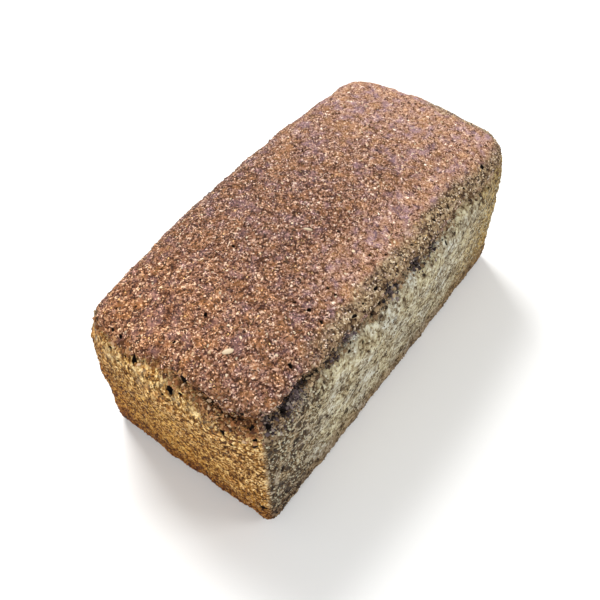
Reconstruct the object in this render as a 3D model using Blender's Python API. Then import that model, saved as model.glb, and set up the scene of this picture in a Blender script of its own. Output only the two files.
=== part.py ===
"""Whole grain rye tin loaf, one solid piece of bread.

Metres, +Z up. The loaf stands on its flat base. The origin is the centre of the base,
+X runs along the loaf and +Y across it. The visible end is at -X and the visible long
side at -Y.
"""

import math
import random

import bmesh
import bpy
from mathutils import Matrix, Vector, noise
from mathutils.bvhtree import BVHTree

# The tin gives the length and width at the corners. The crust swells past them higher up.
TIN_LENGTH = 0.200
TIN_WIDTH = 0.0965
SHOULDER_HEIGHT = 0.0870
DOME_RISE = 0.0050
DOME_POWER = 2.7

# Rounding: upright corners near the base and at the shoulder, the shoulder itself, the foot.
FOOT_CORNER = 0.0058
SHOULDER_CORNER = 0.0125
SHOULDER_DROP = 0.0200
FOOT_ROUND = 0.0058

# How far the middle of each wall bows out, at the base and at the shoulder.
FOOT_BOW = 0.0006
SHOULDER_BOW = 0.0080

# Mesh lines: close together where the loaf is rounded, wider on the flat walls.
ROUND_STEPS = (0.0020, 0.0045, 0.0080, 0.0125)
LENGTH_CUTS = 25
WIDTH_CUTS = 11
WALL_CUTS = 7
SHOULDER_CUTS = 8

# Relief of the baked surface.
LUMP_SIZE = 0.016
LUMP_DEPTH = 0.0007
GRAIN_SIZE = 0.006
GRAIN_DEPTH = 0.0004
FLAT_BASE = 0.0040

# The crack where the top crust has torn away from the walls.
CRACK_HEIGHT = 0.0858
CRACK_CORNER_DIP = 0.0055
CORNER_REACH = 0.052
LONG_SIDE_DROP = 0.0032
LONG_SIDE_START = 0.029
LONG_SIDE_REACH = 0.015
FAR_DROP = 0.0045
FAR_START = 0.030
FAR_REACH = 0.045
CRACK_WAVE = 0.0016
CRACK_WAVE_SIZE = 0.022
CRACK_HALF_WIDTH = 0.0019
CRACK_DEPTH = 0.0024

# Gas holes that show plainly, each as the place over the crust and a radius: first on the
# top, then round the torn shoulder and on the walls.
OVER_TOP = 0.096
TOP_HOLES = (
    (-0.074, -0.043, 0.0014),
    (-0.049, -0.033, 0.0016),
    (-0.051, -0.040, 0.0013),
    (-0.049, -0.025, 0.0011),
    (-0.073, 0.001, 0.0015),
    (-0.061, 0.014, 0.0013),
    (-0.040, 0.014, 0.0013),
    (-0.007, -0.018, 0.0014),
    (0.048, -0.002, 0.0012),
)
WALL_HOLES = (
    (-0.106, 0.014, 0.082, 0.0019),
    (-0.106, -0.010, 0.084, 0.0019),
    (-0.108, -0.006, 0.080, 0.0021),
    (-0.106, -0.028, 0.079, 0.0016),
    (-0.108, -0.032, 0.072, 0.0017),
    (-0.098, -0.044, 0.079, 0.0022),
    (-0.094, -0.048, 0.078, 0.0020),
    (-0.100, -0.040, 0.081, 0.0019),
    (-0.084, -0.050, 0.080, 0.0018),
    (-0.091, -0.050, 0.043, 0.0015),
    (-0.100, -0.048, 0.015, 0.0017),
)
HOLE_STRETCH = 1.4
HOLE_DEPTH = 1.5

# Flakes of grain baked into the crust: a long pale one and a thin one on the top, each as
# its place, length, width and turn, then a scatter over the top and the walls.
FLAKE_HEIGHT = 0.0009
LONG_FLAKE = (-0.080, -0.017, 0.0068, 0.0032, math.radians(-36))
THIN_FLAKE = (-0.014, -0.007, 0.0048, 0.0016, math.radians(-58))
FLAKE_SPACING = 0.027
FLAKE_LENGTHS = (0.0032, 0.0046)
FLAKE_SLIMNESS = 0.62
FLAKE_SEED = 7

CRUST_COLOUR = (0.333, 0.168, 0.107, 1.0)
CRUST_ROUGHNESS = 0.85


def clear_scene():
    for obj in list(bpy.data.objects):
        bpy.data.objects.remove(obj)


def ease(t):
    """Runs smoothly from 0 to 1 as t does."""
    t = min(max(t, 0.0), 1.0)
    return t * t * (3 - 2 * t)


def clamp(value, limit):
    return min(max(value, -limit), limit)


def stations(half, between):
    """Places of the cuts across a span of two halves, close together near both ends."""
    edge = [half - step for step in ROUND_STEPS]
    inner = edge[-1]
    spread = [-inner + 2 * inner * i / (between + 1) for i in range(1, between + 1)]
    return [-place for place in edge] + spread + edge


def levels():
    """Heights of the cuts: the foot's rounding, the walls, then the shoulder's rounding."""
    foot = [FOOT_ROUND * share for share in (0.35, 1.0)]
    turn = SHOULDER_HEIGHT - SHOULDER_DROP
    rise = (turn - FOOT_ROUND) / (WALL_CUTS + 1)
    walls = [FOOT_ROUND + rise * i for i in range(1, WALL_CUTS + 1)]
    shoulder = [turn + SHOULDER_DROP * i / (SHOULDER_CUTS + 1) for i in range(SHOULDER_CUTS + 1)]
    return foot + walls + shoulder


def sharp_brick():
    """The loaf's box with every mesh line cut into it."""
    mesh = bmesh.new()
    size = Matrix.Diagonal((TIN_LENGTH, TIN_WIDTH, SHOULDER_HEIGHT, 1.0))
    lift = Matrix.Translation((0, 0, SHOULDER_HEIGHT / 2))
    bmesh.ops.create_cube(mesh, size=1.0, matrix=lift @ size)
    cuts = [(Vector((1, 0, 0)), place) for place in stations(TIN_LENGTH / 2, LENGTH_CUTS)]
    cuts += [(Vector((0, 1, 0)), place) for place in stations(TIN_WIDTH / 2, WIDTH_CUTS)]
    cuts += [(Vector((0, 0, 1)), place) for place in levels()]
    for axis, place in cuts:
        everything = mesh.verts[:] + mesh.edges[:] + mesh.faces[:]
        bmesh.ops.bisect_plane(
            mesh, geom=everything, dist=1e-6, plane_co=axis * place, plane_no=axis
        )
    return mesh


def rounded(point):
    """A point of the sharp box, moved onto the box with its corners and edges rounded."""
    upper = ease((point.z / SHOULDER_HEIGHT - 0.55) / 0.45)
    corner = FOOT_CORNER + (SHOULDER_CORNER - FOOT_CORNER) * upper
    edge = SHOULDER_DROP if point.z > SHOULDER_HEIGHT / 2 else FOOT_ROUND
    core = Vector(
        (
            clamp(point.x, TIN_LENGTH / 2 - corner),
            clamp(point.y, TIN_WIDTH / 2 - corner),
            min(max(point.z, FOOT_ROUND), SHOULDER_HEIGHT - SHOULDER_DROP),
        )
    )
    reach = Vector((corner, corner, edge))
    away = Vector((point[i] - core[i]) / reach[i] for i in range(3))
    if away.length > 1e-9:
        away.normalize()
    return core + Vector(away[i] * reach[i] for i in range(3))


def swollen(point):
    """Bows the walls out, most at the shoulder, and lifts the middle of the top."""
    along = point.x / (TIN_LENGTH / 2)
    across = point.y / (TIN_WIDTH / 2)
    bow = FOOT_BOW + (SHOULDER_BOW - FOOT_BOW) * ease(point.z / SHOULDER_HEIGHT)
    x = point.x + bow * along * abs(along) ** 2 * max(0.0, 1 - across**2)
    y = point.y + bow * across * abs(across) ** 2 * max(0.0, 1 - along**2)
    crown = (1 - min(1.0, abs(along)) ** DOME_POWER) * (1 - min(1.0, abs(across)) ** DOME_POWER)
    z = point.z + DOME_RISE * crown * ease(2 * point.z / SHOULDER_HEIGHT - 1)
    return Vector((x, y, z))


def crack_height(point):
    """Height of the crack beside this point.

    It is highest over the near end, dips at the near corner, lies lower along both sides and
    lowest round the far end, and it wanders.
    """
    corner = Vector((-TIN_LENGTH / 2, -TIN_WIDTH / 2))
    near = ease(1 - (point.xy - corner).length / CORNER_REACH)
    long_side = ease((-point.y - LONG_SIDE_START) / LONG_SIDE_REACH)
    far_side = ease(point.y / FAR_START)
    far_end = ease((point.x - FAR_REACH) / FAR_START)
    wave = noise.noise(Vector((point.x, point.y, 0)) / CRACK_WAVE_SIZE)
    lowered = max(CRACK_CORNER_DIP * near, LONG_SIDE_DROP * long_side)
    lowered += FAR_DROP * max(far_side, far_end)
    return CRACK_HEIGHT - lowered + CRACK_WAVE * wave


def relief(point):
    """How far the surface stands out at this point, less where the crust is torn."""
    bumps = LUMP_DEPTH * noise.noise(point / LUMP_SIZE)
    bumps += GRAIN_DEPTH * noise.noise(point / GRAIN_SIZE)
    beside = (point.z - crack_height(point)) / CRACK_HALF_WIDTH
    on_top = max(abs(point.x) / (TIN_LENGTH / 2 - 0.013), abs(point.y) / (TIN_WIDTH / 2 - 0.013))
    torn = math.exp(-beside * beside) if on_top > 1 else 0.0
    open_here = 0.55 + 0.75 * noise.noise(point / CRACK_WAVE_SIZE + Vector((3.1, 0, 0)))
    flat = ease(point.z / FLAT_BASE)
    return flat * (bumps - CRACK_DEPTH * torn * max(0.2, open_here))


def loaf_mesh():
    """The loaf without its holes and flakes, as a closed bmesh."""
    mesh = sharp_brick()
    for vert in mesh.verts:
        vert.co = swollen(rounded(vert.co))
    mesh.normal_update()
    moved = {vert: vert.co + vert.normal * relief(vert.co) for vert in mesh.verts}
    for vert, place in moved.items():
        vert.co = place
        if place.z < 1e-5:
            vert.co.z = 0.0
    underside = [face for face in mesh.faces if all(vert.co.z == 0.0 for vert in face.verts)]
    bmesh.ops.dissolve_faces(mesh, faces=underside)
    bmesh.ops.recalc_face_normals(mesh, faces=mesh.faces[:])
    return mesh


def lump(name, matrix, group):
    """A small faceted ellipsoid in a group, for a hole to cut or a flake to join."""
    mesh = bmesh.new()
    bmesh.ops.create_icosphere(mesh, subdivisions=1, radius=1.0, matrix=matrix)
    data = bpy.data.meshes.new(name)
    mesh.to_mesh(data)
    mesh.free()
    group.objects.link(bpy.data.objects.new(name, data))


def standing_on(place, normal, turn):
    """A frame on the crust with its Z along the outward normal, turned about it."""
    upright = normal.to_track_quat("Z", "Y").to_matrix().to_4x4()
    return Matrix.Translation(place) @ upright @ Matrix.Rotation(turn, 4, "Z")


def make_holes(crust, group):
    draw = random.Random(FLAKE_SEED)
    holes = [(x, y, OVER_TOP, radius) for x, y, radius in TOP_HOLES] + list(WALL_HOLES)
    for number, (x, y, z, radius) in enumerate(holes):
        place, normal, _, _ = crust.find_nearest(Vector((x, y, z)))
        frame = standing_on(place, normal, draw.uniform(0, math.pi))
        longer = radius * draw.uniform(1.0, HOLE_STRETCH)
        size = Matrix.Diagonal((longer, radius, radius * HOLE_DEPTH, 1.0))
        lump(f"hole_{number}", frame @ size, group)


def make_flake(crust, group, beside, length, width, turn):
    place, normal, _, _ = crust.find_nearest(beside)
    size = Matrix.Diagonal((length / 2, width / 2, FLAKE_HEIGHT, 1.0))
    lump(f"flake_{len(group.objects)}", standing_on(place, normal, turn) @ size, group)


def make_flakes(crust, group):
    """The two flakes that stand out, then a jittered grid of smaller ones on every side."""
    for x, y, length, width, turn in (LONG_FLAKE, THIN_FLAKE):
        make_flake(crust, group, Vector((x, y, OVER_TOP)), length, width, turn)
    draw = random.Random(FLAKE_SEED)
    half = Vector((TIN_LENGTH, TIN_WIDTH, SHOULDER_HEIGHT)) / 2
    middle = Vector((0, 0, half.z))
    faces = ((2, 1), (1, -1), (1, 1), (0, -1), (0, 1))
    for axis, way in faces:
        first, second = (i for i in range(3) if i != axis)
        rows = int(2 * half[first] / FLAKE_SPACING)
        columns = int(2 * half[second] / FLAKE_SPACING)
        for row in range(rows):
            for column in range(columns):
                beside = Vector((0, 0, 0))
                beside[axis] = way * (half[axis] + SHOULDER_BOW)
                for i, count, cell in ((first, rows, row), (second, columns, column)):
                    share = (cell + draw.uniform(0.2, 0.8)) / count
                    beside[i] = half[i] * 0.84 * (2 * share - 1)
                length = draw.uniform(*FLAKE_LENGTHS)
                turn = draw.uniform(0, math.pi)
                make_flake(
                    crust, group, middle + beside, length, length * FLAKE_SLIMNESS, turn
                )


def apply_boolean(loaf, group, operation):
    """Cuts or joins a whole group, applies it, and removes the group's objects."""
    step = loaf.modifiers.new(operation.lower(), "BOOLEAN")
    step.operation = operation
    step.operand_type = "COLLECTION"
    step.collection = group
    step.solver = "EXACT"
    bpy.context.view_layer.update()
    graph = bpy.context.evaluated_depsgraph_get()
    joined = bpy.data.meshes.new_from_object(loaf.evaluated_get(graph))
    loaf.modifiers.clear()
    loaf.data = joined
    for obj in list(group.objects):
        bpy.data.objects.remove(obj)
    bpy.data.collections.remove(group)


def crust_material():
    made = bpy.data.materials.new("rye_crust")
    made.use_nodes = True
    surface = made.node_tree.nodes["Principled BSDF"]
    surface.inputs["Base Color"].default_value = CRUST_COLOUR
    surface.inputs["Roughness"].default_value = CRUST_ROUGHNESS
    return made


def new_group(name):
    group = bpy.data.collections.new(name)
    bpy.context.scene.collection.children.link(group)
    return group


def main():
    clear_scene()
    bread = new_group("rye_tin_loaf")
    mesh = loaf_mesh()
    crust = BVHTree.FromBMesh(mesh)
    data = bpy.data.meshes.new("loaf")
    mesh.to_mesh(data)
    mesh.free()
    loaf = bpy.data.objects.new("loaf", data)
    bread.objects.link(loaf)

    holes = new_group("holes")
    make_holes(crust, holes)
    apply_boolean(loaf, holes, "DIFFERENCE")

    flakes = new_group("flakes")
    make_flakes(crust, flakes)
    apply_boolean(loaf, flakes, "UNION")

    loaf.data.materials.clear()
    loaf.data.materials.append(crust_material())
    loaf.data.shade_smooth()
    loaf.data.set_sharp_from_angle(angle=math.radians(50))


main()
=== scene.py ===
# %% [markdown]
# # A whole grain rye tin loaf
#
# The loaf is one piece of bread, but its skin is many things at once: a reddish top crust
# paved with crushed grain, a torn edge where that crust has lifted, paler walls that were
# pressed against the tin, and gas holes. Each cell below makes one of them.

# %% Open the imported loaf
import math
import random

import bmesh
import bpy
import numpy as np
from mathutils import Euler, Matrix, Vector, noise
from mathutils.bvhtree import BVHTree


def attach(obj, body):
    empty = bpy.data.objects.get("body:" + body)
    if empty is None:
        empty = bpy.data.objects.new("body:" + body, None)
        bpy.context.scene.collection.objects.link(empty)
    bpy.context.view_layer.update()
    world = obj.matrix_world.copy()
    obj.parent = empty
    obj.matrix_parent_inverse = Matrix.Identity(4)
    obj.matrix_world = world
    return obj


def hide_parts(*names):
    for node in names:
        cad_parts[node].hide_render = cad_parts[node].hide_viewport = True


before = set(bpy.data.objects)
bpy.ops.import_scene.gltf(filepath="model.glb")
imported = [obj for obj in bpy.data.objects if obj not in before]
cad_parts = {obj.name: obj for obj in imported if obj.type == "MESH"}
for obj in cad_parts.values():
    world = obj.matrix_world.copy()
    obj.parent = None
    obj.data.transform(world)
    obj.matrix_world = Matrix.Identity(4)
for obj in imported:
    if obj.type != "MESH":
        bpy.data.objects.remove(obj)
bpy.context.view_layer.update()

# %% [markdown]
# ## The sizes that the loaf was drawn from
#
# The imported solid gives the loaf's form with few faces. The same driving sizes are repeated
# here, so that a much finer crust can be drawn over exactly the same form.

# %% Driving sizes
TIN_LENGTH = 0.200
TIN_WIDTH = 0.0965
HALF_LENGTH = TIN_LENGTH / 2
HALF_WIDTH = TIN_WIDTH / 2
SHOULDER_HEIGHT = 0.0870
DOME_RISE = 0.0050
DOME_POWER = 2.7
FOOT_CORNER = 0.0058
SHOULDER_CORNER = 0.0125
SHOULDER_DROP = 0.0200
FOOT_ROUND = 0.0058
FOOT_BOW = 0.0006
SHOULDER_BOW = 0.0080
LUMP_SIZE = 0.016
LUMP_DEPTH = 0.0007
GRAIN_SIZE = 0.006
GRAIN_DEPTH = 0.0004
FLAT_BASE = 0.0040
MM = 0.001
print("tin base", TIN_LENGTH, "x", TIN_WIDTH, "shoulder at", SHOULDER_HEIGHT)

# %% [markdown]
# ## Camera, light and floor
#
# The loaf was photographed from above one corner, close by, so the far end looks smaller.
# The view is set by turn, rise and distance about a point inside the loaf, which is easier
# to adjust than a location and three angles. Wide soft lights keep the shadows faint.

# %% Camera at the photograph's angle
CAMERA_TURN = math.radians(-52.7)
CAMERA_RISE = math.radians(51.24)
CAMERA_ROLL = math.radians(-1.43)
CAMERA_DISTANCE = 0.3714
AIM = Vector((0, 0, 0.050))
AIM_RIGHT = -0.0071
AIM_UP = -0.0154
FRAME_SIDE = 36.0
LENS = 46.05
NEAREST_SEEN = 0.01


def place_camera():
    turned = Euler((math.pi / 2 - CAMERA_RISE, 0, CAMERA_TURN)).to_matrix()
    turned = turned @ Matrix.Rotation(CAMERA_ROLL, 3, "Z")
    place = AIM + turned @ Vector((AIM_RIGHT, AIM_UP, CAMERA_DISTANCE))
    bpy.ops.object.camera_add()
    camera = bpy.context.object
    camera.name = "camera"
    camera.matrix_world = Matrix.Translation(place) @ turned.to_4x4()
    camera.data.lens = LENS
    camera.data.sensor_width = FRAME_SIDE
    camera.data.clip_start = NEAREST_SEEN
    bpy.context.scene.camera = camera
    return camera


camera = place_camera()
print("camera stands at", [round(number, 3) for number in camera.location])

# %% Soft studio light
SKY_COLOUR = (1.0, 1.0, 1.0, 1.0)
SKY_STRENGTH = 0.42
LIGHTS = (
    # name, place, width, watts
    ("key", (0.30, 0.62, 0.95), 0.5, 15.0),
    ("fill", (-0.85, -0.35, 0.60), 0.5, 5.5),
    ("side", (0.55, -0.95, 0.50), 0.5, 5.5),
)


def soft_light(name, place, width, watts):
    bpy.ops.object.light_add(type="AREA", location=place)
    lamp = bpy.context.object
    lamp.name = name
    lamp.data.size = width
    lamp.data.energy = watts
    lamp.rotation_euler = (AIM - lamp.location).to_track_quat("-Z", "Y").to_euler()


def light_studio():
    world = bpy.data.worlds.new("studio")
    world.use_nodes = True
    sky = world.node_tree.nodes["Background"]
    sky.inputs["Color"].default_value = SKY_COLOUR
    sky.inputs["Strength"].default_value = SKY_STRENGTH
    bpy.context.scene.world = world
    bpy.context.scene.view_settings.view_transform = "Standard"
    for name, place, width, watts in LIGHTS:
        soft_light(name, place, width, watts)


light_studio()
print("lights:", len(LIGHTS), "and the sky")

# %% [markdown]
# ## Shader maths as Python
#
# A pattern is a sum of noises and masks. Wired by hand it becomes a wall of Math nodes, so a
# small class wraps a socket and lets it be added, multiplied and compared in Python.


# %% Wires and finishes
class Wire:
    """An output socket of a finish. Arithmetic on it adds Math nodes."""

    def __init__(self, finish, socket):
        self.finish = finish
        self.socket = socket

    def math(self, operation, *values):
        inputs = dict(enumerate(values))
        return self.finish.node("ShaderNodeMath", {"operation": operation}, inputs)

    def __add__(self, other):
        return self.math("ADD", self, other)

    def __sub__(self, other):
        return self.math("SUBTRACT", self, other)

    def __rsub__(self, other):
        return self.math("SUBTRACT", other, self)

    def __mul__(self, other):
        return self.math("MULTIPLY", self, other)

    # A sum or a product is the same with the number on the left.
    __radd__ = __add__
    __rmul__ = __mul__

    def clamped(self):
        return self.math("MINIMUM", self.math("MAXIMUM", self, 0.0), 1.0)

    def between(self, low, high):
        """Runs smoothly from 0 where this is low to 1 where it is high."""
        inputs = {"Value": self, "From Min": low, "From Max": high}
        kind = {"interpolation_type": "SMOOTHSTEP"}
        return self.finish.node("ShaderNodeMapRange", kind, inputs)


class Finish:
    """A material under construction."""

    def __init__(self, name, roughness, gloss=0.5):
        self.material = bpy.data.materials.new(name)
        self.material.use_nodes = True
        self.tree = self.material.node_tree
        self.surface = self.tree.nodes["Principled BSDF"]
        self.surface.inputs["Roughness"].default_value = roughness
        self.surface.inputs["Specular IOR Level"].default_value = gloss

    def node(self, kind, settings=None, inputs=None, output=0):
        """Any node: its type, then its settings, then its sockets' values or wires."""
        made = self.tree.nodes.new(kind)
        for name, value in (settings or {}).items():
            if name == "stops":
                self.set_stops(made.color_ramp, value)
            else:
                setattr(made, name, value)
        for name, value in (inputs or {}).items():
            self.connect(value, made.inputs[name])
        return Wire(self, made.outputs[output])

    def connect(self, value, socket):
        if isinstance(value, Wire):
            self.tree.links.new(value.socket, socket)
        else:
            socket.default_value = value

    def set_stops(self, ramp, stops):
        while len(ramp.elements) < len(stops):
            ramp.elements.new(1.0)
        for element, (place, colour) in zip(ramp.elements, stops):
            element.position = place
            element.color = (*colour, 1.0)

    def attribute(self, name, output="Fac"):
        return self.node("ShaderNodeAttribute", {"attribute_name": name}, output=output)

    def places(self):
        return self.node("ShaderNodeTexCoord", output="Object")

    def ripple(self, size, places, detail=2.0, roughness=0.5):
        """Smooth noise from 0 to 1 with bumps of the given size in metres."""
        inputs = {
            "Vector": places, "Scale": 1 / size, "Detail": detail, "Roughness": roughness,
        }
        return self.node("ShaderNodeTexNoise", None, inputs, "Fac")

    def cells(self, size, places, output="Color"):
        """Random cells of the given size in metres."""
        inputs = {"Vector": places, "Scale": 1 / size}
        return self.node("ShaderNodeTexVoronoi", None, inputs, output)

    def picks(self, size, places):
        """A random number from 0 to 1 for each cell of the given size in metres."""
        inputs = {"Color": self.cells(size, places)}
        return self.node("ShaderNodeSeparateColor", None, inputs, "Red")

    def part(self, places, axis):
        return self.node("ShaderNodeSeparateXYZ", None, {"Vector": places}, axis)

    def ramp(self, value, stops):
        return self.node("ShaderNodeValToRGB", {"stops": stops}, {"Fac": value}, "Color")

    def blend(self, mask, first, second, way="MIX"):
        """The first colour where the mask is 0 and the second where it is 1."""
        inputs = {0: mask, 6: opaque(first), 7: opaque(second)}
        settings = {"data_type": "RGBA", "blend_type": way}
        return self.node("ShaderNodeMix", settings, inputs, 2)

    def tint(self, mask, colour, by):
        """The colour, multiplied by a tint where the mask is 1."""
        return self.blend(mask, colour, by, "MULTIPLY")

    def colour(self, wire):
        self.connect(wire, self.surface.inputs["Base Color"])

    def bump(self, height, depth):
        """A height from 0 to 1 that stands out by a depth in metres."""
        inputs = {"Height": height, "Distance": depth, "Strength": 1.0}
        made = self.node("ShaderNodeBump", None, inputs, "Normal")
        self.connect(made, self.surface.inputs["Normal"])


def opaque(colour):
    return colour if isinstance(colour, Wire) else (*colour, 1.0)


print("wires and finishes are ready")

# %% [markdown]
# ## The floor
#
# A plain pale sheet, large enough that its edge never shows.

# %% Floor
FLOOR_SIDE = 6.0
FLOOR_COLOUR = (0.90, 0.90, 0.89)
FLOOR_GAP = 0.0002


def lay_floor():
    bpy.ops.mesh.primitive_plane_add(size=FLOOR_SIDE, location=(0, 0, -FLOOR_GAP))
    floor = bpy.context.object
    floor.name = "floor"
    paper = Finish("pale_floor", 0.9)
    paper.colour(opaque(FLOOR_COLOUR))
    floor.data.materials.append(paper.material)


lay_floor()
print("floor is", FLOOR_SIDE, "m wide")

# %% [markdown]
# ## The loaf's form
#
# A tin loaf is a brick with soft edges. It could be carved from a subdivided cage, but then
# its rounding would be hard to match to real sizes. Here a finely cut brick is made first,
# and each of its points is moved onto the rounded, swollen form by the same rule that the
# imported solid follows.


# %% A finely cut brick
def ease(t):
    """Runs smoothly from 0 to 1 as t does."""
    t = np.clip(t, 0.0, 1.0)
    return t * t * (3 - 2 * t)


def rows_of(items, name):
    flat = np.empty(len(items) * 3)
    items.foreach_get(name, flat)
    return flat.reshape(-1, 3)


def points_of(obj):
    return rows_of(obj.data.vertices, "co")


def move_points(obj, places):
    obj.data.vertices.foreach_set("co", places.ravel())
    obj.data.update()


def select_only(obj):
    bpy.ops.object.select_all(action="DESELECT")
    bpy.context.view_layer.objects.active = obj
    obj.select_set(True)


def edit_where(obj, kind, chosen, operation, **options):
    """Runs one operation on the edges or faces of an object that a rule chooses."""
    select_only(obj)
    bpy.ops.object.mode_set(mode="EDIT")
    bpy.context.tool_settings.mesh_select_mode = (False, kind == "edges", kind == "faces")
    bpy.ops.mesh.select_all(action="DESELECT")
    mesh = bmesh.from_edit_mesh(obj.data)
    mesh.verts.index_update()
    for element in getattr(mesh, kind):
        element.select = chosen(element)
    bmesh.update_edit_mesh(obj.data)
    operation(**options)
    bpy.ops.object.mode_set(mode="OBJECT")


# axis and cuts: a second round on an axis divides every strip of the first again
BRICK_CUTS = ((0, 22), (0, 6), (1, 38), (1, 1), (2, 63))
NEARLY_ALONG = 0.9


def cut_across(obj, axis, cuts):
    """Divides every edge that runs along an axis, as evenly spaced loop cuts would."""

    def runs_along(edge):
        along = edge.verts[1].co - edge.verts[0].co
        return abs(along[axis]) > NEARLY_ALONG * along.length

    edit_where(obj, "edges", runs_along, bpy.ops.mesh.subdivide, number_cuts=cuts)


def cut_brick(name):
    bpy.ops.mesh.primitive_cube_add(size=1, location=(0, 0, SHOULDER_HEIGHT / 2))
    brick = bpy.context.object
    brick.name = name
    brick.scale = (TIN_LENGTH, TIN_WIDTH, SHOULDER_HEIGHT)
    bpy.ops.object.transform_apply(location=True, rotation=True, scale=True)
    for axis, cuts in BRICK_CUTS:
        cut_across(brick, axis, cuts)
    return brick


loaf = cut_brick("loaf_crust")
print("brick faces:", len(loaf.data.polygons))

# %% Move the brick's points onto the loaf's form
ROWS_UPWARD = 1.2
FOOT_RING = 0.008
ON_BASE = 1e-5
CORNERS_GROW_FROM = 0.55
CORNERS_GROW_OVER = 0.45


def rounded(points):
    """Points of the sharp brick, moved onto one with its corners and edges rounded."""
    half = np.array((HALF_LENGTH, HALF_WIDTH))
    z = points[:, 2]
    upper = ease((z / SHOULDER_HEIGHT - CORNERS_GROW_FROM) / CORNERS_GROW_OVER)
    corner = FOOT_CORNER + (SHOULDER_CORNER - FOOT_CORNER) * upper
    edge = np.where(z > SHOULDER_HEIGHT / 2, SHOULDER_DROP, FOOT_ROUND)
    inner = half[None, :] - corner[:, None]
    core = np.column_stack(
        (
            np.clip(points[:, :2], -inner, inner),
            np.clip(z, FOOT_ROUND, SHOULDER_HEIGHT - SHOULDER_DROP),
        )
    )
    reach = np.column_stack((corner, corner, edge))
    away = (points - core) / reach
    length = np.linalg.norm(away, axis=1)
    away /= np.where(length > 1e-9, length, 1.0)[:, None]
    return core + away * reach


def swollen(points):
    """Bows the walls out, most at the shoulder, and lifts the middle of the top."""
    x, y, z = points.T
    along = x / HALF_LENGTH
    across = y / HALF_WIDTH
    bow = FOOT_BOW + (SHOULDER_BOW - FOOT_BOW) * ease(z / SHOULDER_HEIGHT)
    wide_x = x + bow * along * along**2 * np.clip(1 - across**2, 0, None)
    wide_y = y + bow * across * across**2 * np.clip(1 - along**2, 0, None)
    crown = 1 - np.minimum(1.0, abs(along)) ** DOME_POWER
    crown *= 1 - np.minimum(1.0, abs(across)) ** DOME_POWER
    high = z + DOME_RISE * crown * ease(2 * z / SHOULDER_HEIGHT - 1)
    return np.column_stack((wide_x, wide_y, high))


def raise_rows(points):
    """Draws the brick's level rows together towards the shoulder, where detail is finest."""
    share = 1 - (1 - points[:, 2] / SHOULDER_HEIGHT) ** ROWS_UPWARD
    return np.column_stack((points[:, :2], share * SHOULDER_HEIGHT))


def clear_underside(obj):
    """Makes the flat middle of the base one face, and keeps the rows that round the foot."""

    def in_the_middle(face):
        return all(
            vert.co.z < ON_BASE
            and abs(vert.co.x) < HALF_LENGTH - FOOT_RING
            and abs(vert.co.y) < HALF_WIDTH - FOOT_RING
            for vert in face.verts
        )

    edit_where(obj, "faces", in_the_middle, bpy.ops.mesh.dissolve_faces)


clear_underside(loaf)
move_points(loaf, swollen(rounded(raise_rows(points_of(loaf)))))
print("crust points:", len(loaf.data.vertices))

# %% [markdown]
# ## The tear and the relief
#
# In the oven the top crust sets first, and the rising crumb tears it away from the walls all
# round the shoulder. The tear dips at the near corner, where it is widest and crumbly. It is
# made as a rule: how high the tear runs beside each point, and how deep it is there.

# %% Where the tear runs
TEAR_HEIGHT = 0.0858
TEAR_CORNER_DIP = 0.0055
CORNER_REACH = 0.052
LONG_SIDE_DROP = 0.0032
LONG_SIDE_START = 0.029
LONG_SIDE_REACH = 0.015
FAR_DROP = 0.0045
FAR_START = 0.030
FAR_REACH = 0.045
TEAR_WAVE = 0.0016
TEAR_WAVE_SIZE = 0.022
TEAR_HALF_WIDTH = 0.0019
GROOVE_DEPTH = 0.0018
TOP_MARGIN = 0.013
CORNER_BLEND = 0.005
EDGE_FROM = 0.97


def ripples(points, size, shift=0.0):
    """Smooth noise between about -1 and 1, with bumps of the given size."""
    offset = Vector((shift, 0, 0))
    return np.array([noise.noise(Vector(point) / size + offset) for point in points])


def summed_ripples(points, layers):
    total = np.zeros(len(points))
    for number, (size, depth) in enumerate(layers):
        total += depth * ripples(points, size, shift=5.3 * (number + 1))
    return total


def near_corner(points):
    """1 at the near upright corner of the loaf, running out to 0 around it."""
    corner = np.array((-HALF_LENGTH, -HALF_WIDTH))
    return ease(1 - np.linalg.norm(points[:, :2] - corner, axis=1) / CORNER_REACH)


def near_end(points):
    """1 over the near end wall, 0 beyond the margin of the top beside it."""
    return ease((-points[:, 0] - HALF_LENGTH + TOP_MARGIN) / (TOP_MARGIN / 2))


def tear_height(points):
    """How high the tear runs beside each point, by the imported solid's own rule."""
    x, y, _ = points.T
    level = points * np.array((1, 1, 0))
    wave = TEAR_WAVE * ripples(level, TEAR_WAVE_SIZE)
    long_side = ease((-y - LONG_SIDE_START) / LONG_SIDE_REACH)
    far = np.maximum(ease(y / FAR_START), ease((x - FAR_REACH) / FAR_START))
    lowered = np.maximum(TEAR_CORNER_DIP * near_corner(points), LONG_SIDE_DROP * long_side)
    return TEAR_HEIGHT - lowered - FAR_DROP * far + wave


def beyond_top(points):
    """Over 1 outside the middle of the top, which the tear never crosses."""
    return np.maximum(
        abs(points[:, 0]) / (HALF_LENGTH - TOP_MARGIN),
        abs(points[:, 1]) / (HALF_WIDTH - TOP_MARGIN),
    )


def bell(distance, width):
    return np.exp(-((distance / width) ** 2))


def on_end(points):
    """1 on the crust's two ends, 0 on its long sides, changing at the upright corners."""
    from_end = HALF_LENGTH - abs(points[:, 0])
    from_side = HALF_WIDTH - abs(points[:, 1])
    return ease(0.5 + (from_side - from_end) / CORNER_BLEND)


print("the tear runs from", TEAR_HEIGHT - TEAR_CORNER_DIP, "m up to", TEAR_HEIGHT)

# %% A finer mesh along the tear
FINE_BELOW = 0.0034
FINE_ABOVE = 0.0026
FINE_CUTS = 2


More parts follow.
